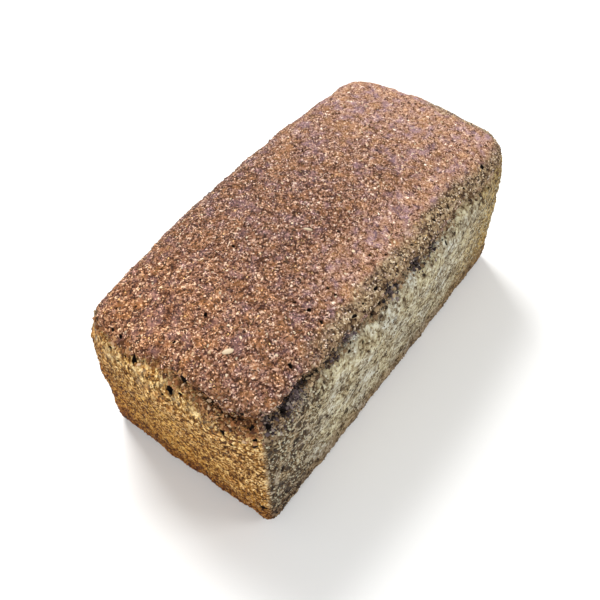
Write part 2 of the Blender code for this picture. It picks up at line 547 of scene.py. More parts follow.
def refine_tear(crust):
    """Divides the faces beside the tear, because its crags are smaller than one face."""
    places = points_of(crust)
    above = places[:, 2] - tear_height(places)
    beside = (above > -FINE_BELOW) & (above < FINE_ABOVE) & (beyond_top(places) > 1)

    def by_the_tear(face):
        return all(beside[vert.index] for vert in face.verts)

    edit_where(crust, "faces", by_the_tear, bpy.ops.mesh.subdivide, number_cuts=FINE_CUTS)


refine_tear(loaf)
smooth_places = points_of(loaf)
smooth_normals = rows_of(loaf.data.vertex_normals, "vector")
print("crust points with a finer tear:", len(smooth_places))

# %% Relief of the crust
CRACK_WAVE = 0.0011
CRACK_WAVE_SIZE = 0.0060
CLEFT_HALF_WIDTH = 0.0008
CLEFT_DEPTH = 0.0032
DEEPEST_TEAR = 0.0040
TOP_BLEND = 0.0016
CLEFT_OPEN = 0.5
LIP_HEIGHT = 0.0024
LIP_RISE = 0.0006
BAND_DROP = 0.0007
BAND_HALF_WIDTH = 0.0017
# size and depth of each layer of noise
CRAG_SIZES = ((0.0042, 0.0013), (0.0022, 0.0010), (0.0012, 0.0006))
RIM_CRAGS = ((0.0034, 0.0006), (0.0017, 0.0005))
TOP_GRIT = ((0.0090, 0.00040), (0.0036, 0.00035), (0.0019, 0.00025))
WALL_GRIT = ((0.0070, 0.00050), (0.0029, 0.00042))
RIM_HEIGHT = 0.0085
BACK_RIM_HEIGHT = 0.0045
RIM_INNER_Y = 0.0385
RIM_INNER_X = 0.0920
RIM_FADE = 0.0035
RIM_WAVE = 0.0022
RIM_WAVE_SIZE = 0.006
RIM_FOOT_RUN = 0.0012
RIM_START = -0.075
RIM_RUN = 0.030
CHAR_SIZE = 0.011
CHAR_MIDDLE = 0.30
CHAR_SWING = 1.7
SEEN_SIDE_Y = -0.035
# x in mm of the burnt patches that show along the tear
CHAR_SPOTS = (-94, -84, -77, -56, -45, -14, 5, 19)
CHAR_HALF_WIDTH = 0.0044
OPEN_START = -0.030
OPEN_RUN = 0.030
OPEN_LEAST = 0.2
CORNER_CRACK_RUN = 0.012


def charred_at(points):
    """1 where the crumb in the tear is burnt, in patches along it, and 0 between them."""
    x, y, _ = points.T
    patchy = CHAR_MIDDLE + CHAR_SWING * ripples(points, CHAR_SIZE, shift=33.0)
    hidden = ease(patchy) * (1 - near_end(points))
    shown = sum(bell(x - spot * MM, CHAR_HALF_WIDTH) for spot in CHAR_SPOTS)
    return np.where(y < SEEN_SIDE_Y, np.clip(shown, 0, 1), hidden)


def open_share(points):
    """How far the tear is open along its run, from nearly shut to wide."""
    near = ease((OPEN_START - points[:, 0]) / OPEN_RUN)
    wide = 0.40 + 0.35 * near + 0.65 * ripples(points, TEAR_WAVE_SIZE, shift=3.1)
    wide = np.maximum(OPEN_LEAST, wide)
    return wide + 0.5 * near_corner(points) + 0.35 * charred_at(points)


def crack_line(points, above):
    """The height above the crack inside the tear, whose run is more ragged than the tear's."""
    ragged = above + CRACK_WAVE * ripples(points, CRACK_WAVE_SIZE, shift=9.0)
    return ragged + 0.4 * CRACK_WAVE * ripples(points, 0.35 * CRACK_WAVE_SIZE, shift=12.0)


def crack_share(points):
    """How far the crack is open: wide round the near corner, broken elsewhere."""
    share = np.clip(open_share(points) - CLEFT_OPEN, 0, 0.5) * (1 - near_end(points))
    share += ease(1.7 * near_corner(points)) * ease(-points[:, 1] / CORNER_CRACK_RUN)
    return np.minimum(share, 1) * (beyond_top(points) > EDGE_FROM)


def cleft_at(points, above):
    """1 in the middle of the open crack, 0 beside it and where it is shut."""
    return bell(crack_line(points, above), CLEFT_HALF_WIDTH) * crack_share(points)


def band_at(points, above):
    """The crumbly band beside the tear: narrow on the long sides, wide at the near corner."""
    width = 1 + 1.2 * near_corner(points) * (1 + 0.8 * on_end(points))
    width += 0.4 * near_end(points) + 0.2 * charred_at(points)
    edge = beyond_top(points) > EDGE_FROM
    shown = np.clip(open_share(points), 0.45, 1) * edge
    return bell(above + BAND_DROP, BAND_HALF_WIDTH * width) * shown


def rim_at(points, above):
    """The golden crumb between the tear and the top crust, missing by the near end."""
    x, y, _ = points.T
    jagged = RIM_WAVE * ripples(points, RIM_WAVE_SIZE, shift=17.0)
    outer = np.maximum(
        ease((abs(y) + jagged - RIM_INNER_Y) / RIM_FADE),
        ease((x + jagged - RIM_INNER_X) / RIM_FADE),
    )
    along = ease((x - RIM_START) / RIM_RUN)
    height = np.where(y > 0, BACK_RIM_HEIGHT, RIM_HEIGHT)
    low = ease((height - above) / RIM_FADE) * ease(0.5 + (above + jagged) / RIM_FOOT_RUN)
    return low * outer * along


def add_relief(places, normals):
    """The crust's places with lumps and grit, first untorn and then torn."""
    above = places[:, 2] - tear_height(places)
    edge = beyond_top(places) > 1
    top = ease(0.5 + above / TOP_BLEND)
    flat = ease(places[:, 2] / FLAT_BASE)
    out = LUMP_DEPTH * ripples(places, LUMP_SIZE)
    out += GRAIN_DEPTH * ripples(places, GRAIN_SIZE)
    out += top * summed_ripples(places, TOP_GRIT)
    out += (1 - top) * summed_ripples(places, WALL_GRIT)
    torn = -GROOVE_DEPTH * bell(above, TEAR_HALF_WIDTH) * edge
    torn *= np.clip(open_share(places), OPEN_LEAST, 1.3) * (1 - 0.55 * near_end(places))
    torn -= CLEFT_DEPTH * cleft_at(places, above)
    torn += LIP_RISE * bell(above - LIP_HEIGHT, LIP_HEIGHT) * edge
    craggy = band_at(places, above) * (1 + 0.5 * near_corner(places) + 0.5 * charred_at(places))
    torn += craggy * summed_ripples(places, CRAG_SIZES)
    torn += rim_at(places, above) * summed_ripples(places, RIM_CRAGS)
    torn = np.maximum(torn, -DEEPEST_TEAR)
    moved = []
    for rise in (out, out + torn):
        raised = places + normals * (rise * flat)[:, None]
        raised[:, 2] = np.where(places[:, 2] < ON_BASE, 0.0, raised[:, 2])
        moved.append(raised)
    return moved


untorn_places, relief_places = add_relief(smooth_places, smooth_normals)
move_points(loaf, relief_places)
uncut_rings = [list(face.vertices) for face in loaf.data.polygons]
untorn_crust = BVHTree.FromPolygons(untorn_places.tolist(), uncut_rings)
solid_crust = BVHTree.FromPolygons(relief_places.tolist(), uncut_rings)
deepest = np.linalg.norm(relief_places - untorn_places, axis=1).max() / MM
print("deepest tear or highest crag in mm:", round(float(deepest), 2))

# %% [markdown]
# ## Gas holes
#
# Gas leaves small ragged holes in the crust. They could be painted, but they are deep enough
# to show black from any side, so they are cut, and their insides are painted black as well,
# as painted shade. Each cutter is a ball with its points moved about, so that no hole is
# round. The larger holes are placed where the photograph shows them, and a seeded rule adds
# small ones along the tear and over the walls.

# %% Holes that show plainly
OVER_TOP = 0.096
TOP_HOLES = (
    # x, y, radius in mm
    (-74, -43, 1.0), (-49, -33, 1.1), (-51, -40, 0.9), (-35, -37, 0.7), (-34, -32, 0.6),
    (-49, -25, 0.7), (-7, -18, 0.8), (-5, -42, 0.7), (-9, -36, 0.7), (48, -2, 0.8),
    (8, -1, 0.6), (-40, 14, 0.9), (-44, 17, 0.6), (-61, 14, 0.8), (-73, 1, 1.0),
    (-66, 32, 0.7), (-86, 28, 0.7), (-91, 34, 0.7), (-91, 2, 0.7), (27, 26, 0.6),
)
WALL_HOLES = (
    # x, y, z, radius in mm
    (-98, 29, 85, 1.1), (-99, 24, 85, 1.0), (-102, 14, 82, 1.4), (-100, -10, 85, 1.4),
    (-104, -6, 80, 1.7), (-102, -28, 79, 1.2), (-104, -31, 73, 1.3), (-103, -35, 67, 1.1),
    (-94, -46, 78, 1.3), (-100, -28, 83, 0.9), (-100, -33, 82, 1.0), (-98, -36, 83, 1.1),
    (-98, -41, 80, 1.2), (-99, -43, 73, 1.0), (-85, -47, 80, 1.1), (-54, -48, 83, 1.0),
    (-37, -46, 86, 1.0), (-82, -50, 57, 1.6), (-91, -49, 43, 1.4), (-100, -44, 16, 1.7),
    (43, -53, 56, 1.3), (-30, -46, 87, 0.7), (-20, -46, 88, 0.9), (-5, -46, 88, 0.6),
    (9, -46, 88, 0.9), (15, -46, 88, 0.6), (27, -45, 87, 0.9), (32, -46, 87, 0.7),
    (39, -46, 86, 1.0), (54, -46, 86, 0.8), (74, -45, 84, 1.1),
)
SMALL_HOLE = 1.0
HOLE_SEED = 11
HOLE_ROUGHNESS = 0.55
HOLE_SPACING = 0.0040
CORNER_CLEAR = 0.2
HOLE_RIM = 1.3
HOLE_DEPTH = 1.5
HOLE_RAGGED_SIZE = 0.0014
BAND_FROM = 0.077
SMALL_HOLE_KINDS = (
    # most holes, lowest and highest place in metres, smallest and largest radius in mm
    (70, BAND_FROM, 0.086, 0.5, 1.0),
    (260, 0.006, BAND_FROM, 0.4, 0.9),
)
print("holes placed by hand:", len(TOP_HOLES) + len(WALL_HOLES))


# %% Copies of a shape on the crust
def unit_ball(divisions):
    """The corners and triangles of a ball of radius 1."""
    bpy.ops.mesh.primitive_ico_sphere_add(subdivisions=divisions, radius=1)
    ball = bpy.context.object
    corners = points_of(ball)
    triangles = np.array([list(face.vertices) for face in ball.data.polygons])
    bpy.data.objects.remove(ball)
    return corners, triangles


def frames_on(normals, turns):
    """Axes standing on the crust, each turned about its normal, as 3x3 matrices."""
    helper = np.where(abs(normals[:, 2:]) < 0.9, (0.0, 0.0, 1.0), (1.0, 0.0, 0.0))
    first = np.cross(helper, normals)
    first /= np.linalg.norm(first, axis=1)[:, None]
    second = np.cross(normals, first)
    cosine = np.cos(turns)[:, None]
    sine = np.sin(turns)[:, None]
    long = first * cosine + second * sine
    wide = second * cosine - first * sine
    return np.stack((long, wide, normals), axis=2)


def copies(corners, triangles, places, frames, sizes):
    """Copies of a shape at places, each turned by its frame and stretched by its sizes."""
    stretched = corners[None] * sizes[:, None, :]
    turned = np.einsum("nij,nkj->nki", frames, stretched) + places[:, None, :]
    shift = (np.arange(len(places)) * len(corners))[:, None, None]
    return turned.reshape(-1, 3), (triangles[None] + shift).reshape(-1, 3)


def roughened(points, places, amount, size):
    """Copies of a ball about some places, their points moved in and out by noise."""
    middles = np.repeat(places, len(points) // len(places), axis=0)
    grown = 1 + amount * ripples(points, size)
    return middles + (points - middles) * grown[:, None]


def mesh_object(name, points, triangles):
    mesh = bpy.data.meshes.new(name)
    mesh.from_pydata(points.tolist(), [], triangles.tolist())
    made = bpy.data.objects.new(name, mesh)
    bpy.context.scene.collection.objects.link(made)
    return made


def on_crust(points):
    """The nearest places on the crust to some points, and the crust's normals there."""
    found = [solid_crust.find_nearest(Vector(point)) for point in points]
    places = np.array([tuple(hit[0]) for hit in found])
    normals = np.array([tuple(hit[1]) for hit in found])
    return places, normals


print("corners of the simplest ball to copy:", len(unit_ball(1)[0]))


# %% Cut the holes
def round_the_loaf(draw, low, high):
    """A random point beside the walls, at a height between low and high."""
    half = (HALF_LENGTH, HALF_WIDTH)
    run = draw.uniform(0, 4 * sum(half))
    point = [0, 0, draw.uniform(low, high)]
    for axis, side in ((0, -1), (0, 1), (1, -1), (1, 1)):
        if run < 2 * half[axis]:
            break
        run -= 2 * half[axis]
    point[axis] = run - half[axis]
    point[1 - axis] = side * (half[1 - axis] + SHOULDER_BOW)
    return point


def hole_list():
    """Every hole as a point beside the crust and a radius, in metres."""
    draw = random.Random(HOLE_SEED)
    holes = [((x * MM, y * MM, OVER_TOP), r * MM) for x, y, r in TOP_HOLES]
    holes += [((x * MM, y * MM, z * MM), r * MM) for x, y, z, r in WALL_HOLES]
    placed = [Vector(point) for point, _ in holes]
    for wanted, low, high, narrow, wide in SMALL_HOLE_KINDS:
        for _ in range(wanted):
            point = Vector(round_the_loaf(draw, low, high))
            radius = draw.uniform(narrow, wide) * MM
            apart = min((point - other).length for other in placed) > HOLE_SPACING
            by_corner = near_corner(np.array([tuple(point)]))[0] > CORNER_CLEAR
            if apart and not (by_corner and low == BAND_FROM):
                placed.append(point)
                holes.append((tuple(point), radius))
    return holes


def hole_balls(places, normals, radii, divisions, seed):
    """One ragged ball for each hole, as the points and triangles of one mesh."""
    draw = np.random.default_rng(seed)
    count = len(places)
    frames = frames_on(normals, draw.uniform(0, math.pi, count))
    longer = draw.uniform(1.0, 1.6, count)
    narrower = draw.uniform(0.75, 1.0, count)
    stretch = np.column_stack((longer, narrower, np.full(count, HOLE_DEPTH)))
    ball = unit_ball(divisions)
    points, faces = copies(*ball, places, frames, radii[:, None] * stretch)
    return roughened(points, places, HOLE_ROUGHNESS, HOLE_RAGGED_SIZE), faces


def cut_holes(crust):
    """Cuts the large holes with finer balls and the small ones with coarser balls."""
    holes = hole_list()
    places, normals = on_crust([point for point, _ in holes])
    radii = np.array([radius for _, radius in holes])
    small = radii < SMALL_HOLE * MM
    for divisions, kind in ((3, ~small), (2, small)):
        points, faces = hole_balls(
            places[kind], normals[kind], radii[kind], divisions, HOLE_SEED + divisions
        )
        cutter = mesh_object("hole_cutter", points, faces)
        select_only(crust)
        step = crust.modifiers.new("holes", "BOOLEAN")
        step.operation = "DIFFERENCE"
        step.solver = "MANIFOLD"
        step.object = cutter
        bpy.ops.object.modifier_apply(modifier=step.name)
        bpy.data.objects.remove(cutter)
    return places, radii


hole_places, hole_radii = cut_holes(loaf)
loaf.data.calc_loop_triangles()
print("holes cut:", len(hole_radii), "crust triangles now:", len(loaf.data.loop_triangles))

# %% [markdown]
# ## Telling the parts of the crust apart
#
# The crust is one skin, but its top, walls and tear differ in colour, and its holes and sunk
# crevices are painted dark as painted shade. Each point gets a few numbers that say what it
# is, which the material reads as attributes.

# %% Attributes for the material
# size and depth of each layer of noise
PATCH_SIZES = ((0.0095, 0.50), (0.0042, 0.85), (0.0024, 0.65))
RIDGE_END = -0.060
RIDGE_RUN = 0.024
FLOUR_DROP = 0.0055
FLOUR_HALF_WIDTH = 0.0045
TOASTED_FROM = 0.026
TOASTED_RUN = 0.018
RIDGE_SIDE_Y = -0.4 * TIN_WIDTH
FAR_FROM_X = -0.010
FAR_RUN = 0.125
MARGIN_FROM = (-0.055, 0.012)
MARGIN_RUN = (0.035, 0.022)
MARGIN_SHARE = 0.75
WARM_FROM = (0.020, -0.045)
WARM_RUN = (0.075, 0.060)


def depth_under(crust, points):
    """How far each point lies under a crust, less than 0 where it stands out."""
    depths = np.empty(len(points))
    for number, point in enumerate(points):
        at = Vector(point)
        place, normal, _, away = crust.find_nearest(at)
        depths[number] = -away if (at - place).dot(normal) > 0 else away
    return depths


def patches(points):
    """Patches of a few millimetres, -1 to 1, where the top is redder or greyer."""
    return np.clip(summed_ripples(points, PATCH_SIZES), -1, 1)


def near_ridge(points):
    """1 on the long side by the near upright corner, running out to 0 along the wall."""
    along = ease((RIDGE_END - points[:, 0]) / RIDGE_RUN)
    return along * (points[:, 1] < RIDGE_SIDE_Y)


def far_share(points):
    """0 over the near half of the loaf, rising to 1 at the far end, sooner by the margin."""
    x, y, _ = points.T
    margin = ease((x - MARGIN_FROM[0]) / MARGIN_RUN[0]) * ease((-y - MARGIN_FROM[1]) / MARGIN_RUN[1])
    return np.maximum(ease((x - FAR_FROM_X) / FAR_RUN), MARGIN_SHARE * margin)


def warm_share(points):
    """1 over the near end of the top, on the side away from the long wall that shows."""
    x, y, _ = points.T
    return ease((-x - WARM_FROM[0]) / WARM_RUN[0]) * ease((y - WARM_FROM[1]) / WARM_RUN[1])


def describe(crust):
    places = points_of(crust)
    x, y, z = places.T
    above = z - tear_height(places)
    end = on_end(places)
    parts = {
        "above_tear": above / MM,
        "sunk": depth_under(untorn_crust, places) / MM,
        "in_hole": depth_under(solid_crust, places) / MM,
        "torn_band": band_at(places, above),
        "end_wall": end,
        "corner": near_corner(places),
        "ridge": near_ridge(places) * (1 - end),
        "rim": rim_at(places, above),
        "charred": charred_at(places) * (1 - end),
        "toasted": end * ease((-np.sign(x) * y - TOASTED_FROM) / TOASTED_RUN),
        "far": far_share(places),
        "warm": warm_share(places),
        "flour": bell(above + FLOUR_DROP, FLOUR_HALF_WIDTH) * near_end(places),
        "patch": patches(places),
    }
    for name, values in parts.items():
        made = crust.data.attributes.new(name, "FLOAT", "POINT")
        made.data.foreach_set("value", values.astype(np.float32))


describe(loaf)
print("attributes:", [made.name for made in loaf.data.attributes if made.domain == "POINT"])

# %% [markdown]
# ## The crust's finish
#
# The top is a mosaic of bran and crushed grain, each bit with its own brown. The walls are
# smoother and paler: golden on the ends and greyer on the long sides, with dark specks. Both
# are mixed from random cells of the bits' real size, and the attributes choose between them.

# %% Colours of the crust
TOP_BITS = (
    (0.00, (0.040, 0.014, 0.006)),
    (0.18, (0.105, 0.038, 0.018)),
    (0.40, (0.205, 0.088, 0.050)),
    (0.62, (0.310, 0.158, 0.100)),
    (0.82, (0.440, 0.250, 0.165)),
    (0.94, (0.600, 0.400, 0.290)),
    (1.00, (0.780, 0.600, 0.460)),
)
END_BITS = (
    (0.00, (0.050, 0.018, 0.002)),
    (0.18, (0.145, 0.056, 0.009)),
    (0.43, (0.300, 0.150, 0.038)),
    (0.72, (0.460, 0.275, 0.100)),
    (0.93, (0.640, 0.440, 0.215)),
    (1.00, (0.760, 0.590, 0.350)),
)
SIDE_BITS = (
    (0.00, (0.035, 0.022, 0.011)),
    (0.18, (0.140, 0.098, 0.052)),
    (0.38, (0.255, 0.200, 0.122)),
    (0.66, (0.380, 0.335, 0.230)),
    (0.92, (0.510, 0.470, 0.345)),
    (1.00, (0.600, 0.570, 0.460)),
)
RIM_BITS = (
    (0.00, (0.030, 0.015, 0.008)),
    (0.20, (0.115, 0.062, 0.028)),
    (0.45, (0.270, 0.180, 0.098)),
    (0.70, (0.420, 0.310, 0.185)),
    (0.90, (0.590, 0.475, 0.320)),
    (1.00, (0.740, 0.640, 0.500)),
)
CRUMB_END = (
    (0.00, (0.016, 0.006, 0.003)),
    (0.25, (0.100, 0.036, 0.012)),
    (0.60, (0.260, 0.105, 0.036)),
    (0.85, (0.420, 0.220, 0.095)),
    (1.00, (0.620, 0.450, 0.290)),
)
# Burnt crumbs: black to purple-grey, their palest stops painted glints.
CRUMB_SIDE_WITH_GLINTS = (
    (0.00, (0.008, 0.005, 0.006)),
    (0.45, (0.042, 0.028, 0.028)),
    (0.75, (0.105, 0.076, 0.078)),
    (0.92, (0.235, 0.185, 0.160)),
    (1.00, (0.440, 0.380, 0.320)),
)
# size and weight of the crumbs, then of the grains, then size and depth of the painted shade in the
# gaps
RIM_CRUMB = ((0.0021, 0.55), (0.0012, 0.45), (0.0023, 0.35))
END_CRUMB = ((0.0014, 0.95), (0.0008, 1.10), (0.0018, 0.45))
SIDE_CRUMB = ((0.0018, 0.50), (0.0010, 0.60), (0.0022, 0.30))
TORN_CRUMB = ((0.0018, 0.90), (0.0010, 0.70), (0.0026, 0.55))
RIDGE_COARSER = (0.80, 0.90)
HIGH_END_TINT = (1.41, 1.36, 1.10)
LOW_END_TINT = (0.97, 0.78, 0.36)
TOASTED_TINT = (0.72, 0.50, 0.28)
RIDGE_TINT = (0.60, 0.50, 0.42)
FAR_SIDE_TINT = (0.85, 0.66, 0.34)
# Paler and pinker top towards the far end and its margin: partly paler crust, partly painted light.
FAR_TOP_PALE_AND_LIT = (1.74, 2.08, 2.30)
WARM_TOP_TINT = (1.20, 1.10, 0.90)
KHAKI_TINT = (1.03, 1.00, 0.88)
GREY_TINT = (0.97, 1.00, 1.07)
SPECK_BROWN = (0.042, 0.021, 0.011)
RIDGE_SPECK = (0.022, 0.013, 0.009)
END_SPECK = (0.120, 0.044, 0.007)
FLOUR_TINT = (1.18, 1.02, 0.84)
# Darker towards the foot: a browner crust there, with painted shade near the floor.
FOOT_BROWN_AND_SHADE = (0.50, 0.36, 0.25)
# Painted shade: the black put into holes and sunk crevices, where light does not reach.
PAINTED_SHADE_BLACK = (0.006, 0.003, 0.002)
ORANGE = (0.400, 0.180, 0.068)
GOLD = (0.420, 0.270, 0.095)
MAUVE = (0.260, 0.148, 0.165)
print("browns on the top, ends and sides:", len(TOP_BITS), len(END_BITS), len(SIDE_BITS))


# %% The top's mosaic
TOP_BIT = 0.0013
TOP_GRAIN = 0.0008


def shaken(finish, places, size, amount, upright=1.0):
    """Places pushed about by noise, so that patterns lose their round edges.

    An upright share below 1 draws the patterns out in height.
    """
    if upright != 1.0:
        inputs = {0: places, 1: (1.0, 1.0, upright)}
        places = finish.node("ShaderNodeVectorMath", {"operation": "MULTIPLY"}, inputs)
    wobble = finish.node("ShaderNodeTexNoise", None, {"Vector": places, "Scale": 1 / size}, "Color")
    inputs = {0: wobble, 1: (amount, amount, amount), 2: places}
    return finish.node("ShaderNodeVectorMath", {"operation": "MULTIPLY_ADD"}, inputs)


def top_colours(finish, places, patch, far):
    """Bits of bran and grain on the top crust, in redder and greyer patches. The crust that shows
    between the grit is held dark, as painted shade in the gaps.
    """
    bits = finish.picks(TOP_BIT, shaken(finish, places, 0.0011, 0.0004))
    fine = finish.picks(TOP_GRAIN, places)
    pick = (bits - 0.5) * 0.9 + (fine - 0.5) * (1.0 - far * 0.5)
    # The mosaic sits low in the browns, so the crust between the grit bits is dark: painted shade.
    mosaic = finish.ramp(pick + 0.30, TOP_BITS)
    warmed = finish.blend(patch.between(0.0, 0.8) * 0.42, mosaic, ORANGE)
    return finish.blend(patch.between(0.0, -0.8) * 0.52, warmed, MAUVE)


print("the top is a mosaic of", TOP_BIT / MM, "and", TOP_GRAIN / MM, "mm bits")


# %% The walls' grain
# heights and places along the loaf in mm, where each colour starts and where it is full
PALE_END_HEIGHTS = (59.0, 78.0)
LOW_END_HEIGHTS = (78.0, 55.0)
FOOT_HEIGHTS = (32.0, 18.0)
FAR_SIDE_ALONG = (35.0, 92.0)
# Dots: dark specks that are partly bran and partly small pits painted dark, as painted shade; the
# ridge's dots are pits.
# size of the cells, share of them that has a dot, and the dot's radius against its cell
LARGE_DOTS = (0.0050, 0.40, 0.30)
SMALL_DOTS = (0.0024, 0.35, 0.36)
RIDGE_DOTS = (0.0030, 0.60, 0.56)


def dots(finish, places, size, share, radius):
    """Specks on a share of random cells of the given size."""
    chance = finish.picks(size, places)
    away = finish.cells(size, places, "Distance")
    return chance.between(1 - share, 1 - 0.8 * share) * away.between(radius, 0.5 * radius)


def crumbly(finish, places, middle, crumb, grain, gap_shade):
    """A pick from a ramp: random for each crumb and grain, and lower in the gaps between them, as
    painted shade.
    """
    size, depth = gap_shade
    # Painted shade: darker picks in the gaps between crumbs.
    pick = middle - finish.cells(size, places, "Distance").between(0.38, 0.75) * depth
    for size, weight in (crumb, grain):
        pick = pick + (finish.picks(size, places) - 0.5) * weight
    return pick


def end_colours(finish, places, height):
    """Coarse golden crumb, browner towards the foot."""
    cloud = finish.ripple(0.0070, places, detail=4.0, roughness=0.65)
    pick = crumbly(finish, places, (cloud - 0.5) * 2.2 + 0.65, *END_CRUMB)
    golden = finish.ramp(pick, END_BITS)
    corner = finish.attribute("corner")
    pale = (height.between(*PALE_END_HEIGHTS) + corner * corner * 0.5).clamped()
    lighter = finish.tint(pale, golden, HIGH_END_TINT)
    low = height.between(*LOW_END_HEIGHTS) * (1 - corner * corner * 0.85)
    return finish.tint(low, lighter, LOW_END_TINT)


def side_colours(finish, places, along):
    """Pale khaki with soft darker marks, greyer by the near ridge."""
    cloud = finish.ripple(0.0060, places, detail=4.0, roughness=0.6)
    ridge = finish.attribute("ridge")
    crumb, grain, gap_shade = SIDE_CRUMB
    crumb = (crumb[0], ridge * RIDGE_COARSER[0] + crumb[1])
    grain = (grain[0], ridge * RIDGE_COARSER[1] + grain[1])
    pick = crumbly(finish, places, (cloud - 0.5) * 2.7 + 0.72, crumb, grain, gap_shade)
    plain = finish.ramp(pick, SIDE_BITS)
    broad = finish.ripple(0.0110, places, detail=2.0)
    yellower = finish.tint(broad.between(0.45, 0.62), plain, KHAKI_TINT)
    khaki = finish.tint(broad.between(0.50, 0.36), yellower, GREY_TINT)
    greyed = finish.tint(ridge, khaki, RIDGE_TINT)
    return finish.tint(along.between(*FAR_SIDE_ALONG), greyed, FAR_SIDE_TINT)


def torn_colours(finish, places, end):
    """Crumbs in the tear: rusty on the ends, brown and in places burnt on the long sides. The burnt
    crumbs' palest cells are painted glints.
    """
    pick = crumbly(finish, places, 0.47, *TORN_CRUMB)
    broken = finish.ripple(0.0030, places, detail=3.0).between(0.36, 0.48)
    plain = finish.ramp(pick + 0.03, RIM_BITS)
    # The burnt ramp's palest cells are painted glints on the dark lumps.
    burnt = finish.ramp(pick, CRUMB_SIDE_WITH_GLINTS)
    side = finish.blend(finish.attribute("charred") * broken, plain, burnt)
    return finish.blend(end, side, finish.ramp(pick, CRUMB_END))


print("crumbs on the walls:", END_CRUMB[0][0] / MM, "to", RIM_CRUMB[0][0] / MM, "mm")


# %% The whole crust's material
BUMP_DEPTH = 0.0009


def crust_finish():
    finish = Finish("rye_crust_baked", 0.85, gloss=0.2)
    places = finish.places()
    height = finish.part(places, "Z") * (1 / MM)
    along = finish.part(places, "X") * (1 / MM)
    end = finish.attribute("end_wall")
    clumps = finish.ripple(0.007, places, detail=3.0, roughness=0.6)
    grained = shaken(finish, places, 0.0015, 0.0006, upright=0.85)
    ridge = finish.attribute("ridge")
    side = side_colours(finish, grained, along)
    wall = finish.blend(end, side, end_colours(finish, grained, height))
    smeared = shaken(finish, places, 0.0040, 0.0040, upright=0.7)
    large = dots(finish, smeared, *LARGE_DOTS) * (1 - end * 0.4)
    small = dots(finish, grained, *SMALL_DOTS) * (1 - end * 0.2)
    blotch = finish.ripple(0.0070, grained, detail=4.0, roughness=0.7)
    # Painted shade: the ridge's dots are small pits painted dark.
    pit_shade_dots = dots(finish, grained, *RIDGE_DOTS) * ridge * 1.2
    blotched = (blotch + ridge * 0.07).between(0.56, 0.64)
    # The dark marks are partly bran and partly painted shade in small pits.
    specks_and_pit_shade = large * 0.7 + small * 0.6 + pit_shade_dots + blotched * (ridge * 0.2 + 0.6)
    speck = finish.blend(end, finish.blend(ridge, SPECK_BROWN, RIDGE_SPECK), END_SPECK)
    specked = finish.blend(specks_and_pit_shade.clamped() * 0.85, wall, speck)
    stain = finish.ripple(0.010, places, detail=3.0, roughness=0.6).between(0.52, 0.66) * 0.6
    toasted = finish.attribute("toasted") * clumps.between(0.25, 0.50) + stain * end
    browned = finish.tint(toasted.clamped(), specked, TOASTED_TINT)
    # Darker towards the foot: partly browner crust, partly painted shade near the floor.
    foot_and_shade = (height + clumps * 18.0).between(*FOOT_HEIGHTS) * (0.85 + end * 0.15)
    footed_and_shaded = finish.tint(foot_and_shade, browned, FOOT_BROWN_AND_SHADE)
    floury = finish.attribute("flour") * clumps.between(0.35, 0.60)
    pale = finish.tint(1.0, side, FLOUR_TINT)
    floured = finish.blend(floury * 0.55, footed_and_shaded, pale)
    far = finish.attribute("far")
    mosaic = top_colours(finish, places, finish.attribute("patch"), far)
    # Paler top towards the far end and margin: partly paler crust, partly painted light.
    paler_and_lit = finish.tint(far, mosaic, FAR_TOP_PALE_AND_LIT)
    warmer = finish.tint(finish.attribute("warm"), paler_and_lit, WARM_TOP_TINT)
    golden = crumbly(finish, places, 0.5, *RIM_CRUMB)
    crown = finish.blend(finish.attribute("rim"), warmer, finish.ramp(golden, RIM_BITS))
    ragged = finish.attribute("above_tear") + (finish.ripple(0.003, places, detail=3.0) - 0.5) * 3.0
    tone = finish.blend(ragged.between(-0.5, 0.7), floured, crown)
    torn = torn_colours(finish, places, end)
    band = finish.attribute("torn_band").between(0.15, 0.75)
    banded = finish.blend(band * (0.85 - end * 0.15), tone, torn)
    # Painted shade: black in the tear's sunk crevices, which hold some burnt crumb too, and inside
    # the cut holes.
    crevice_shade = finish.attribute("sunk").between(0.8, 1.9) * 0.92
    shadowed = finish.blend(crevice_shade, banded, PAINTED_SHADE_BLACK)
    hole_shade = finish.attribute("in_hole").between(0.10, 0.70)
    finish.colour(finish.blend(hole_shade, shadowed, PAINTED_SHADE_BLACK))
    pebbles = finish.cells(0.0011, places, "Distance")
    grain = finish.ripple(0.0006, places, detail=2.0)
    finish.bump(grain * 0.5 - pebbles * 0.7, BUMP_DEPTH)
    return finish


crust_look = crust_finish()
loaf.data.materials.clear()
loaf.data.materials.append(crust_look.material)
loaf.data.shade_smooth()
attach(loaf, "root")
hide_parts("loaf")
print("crust nodes:", len(crust_look.tree.nodes))

# %% [markdown]
# ## Grit, crumbs and flakes
#
# Up close the top is rough with crushed grain, each bit about a millimetre long. A bump map
# would only shade it, so thousands of small bits of grain are laid on the crust as real
# shapes. One faceted bit is modelled and copied: every copy is turned, stretched and coloured
# by a seeded rule, and all copies of a kind are joined in one mesh.

# %% Places on the crust
GRIT_SEED = 5


def sown(count, likely, seed):
    """Random places on the crust with its normals there, thicker where likely is higher."""
    draw = np.random.default_rng(seed)
    across = quads[:, 2] - quads[:, 0]
    normal = np.cross(across, quads[:, 3] - quads[:, 1])
    area = np.linalg.norm(normal, axis=1) / 2
    normal /= 2 * area[:, None]
    weight = area * np.clip(likely(quads.mean(axis=1)), 0, None)
    chosen = draw.choice(len(quads), count, p=weight / weight.sum())
    share = draw.uniform(0, 1, (2, count, 1))
    corner = quads[chosen]
    near = corner[:, 0] * (1 - share[0]) + corner[:, 1] * share[0]
    far = corner[:, 3] * (1 - share[0]) + corner[:, 2] * share[0]
    place = near * (1 - share[1]) + far * share[1]
    return place, normal[chosen]


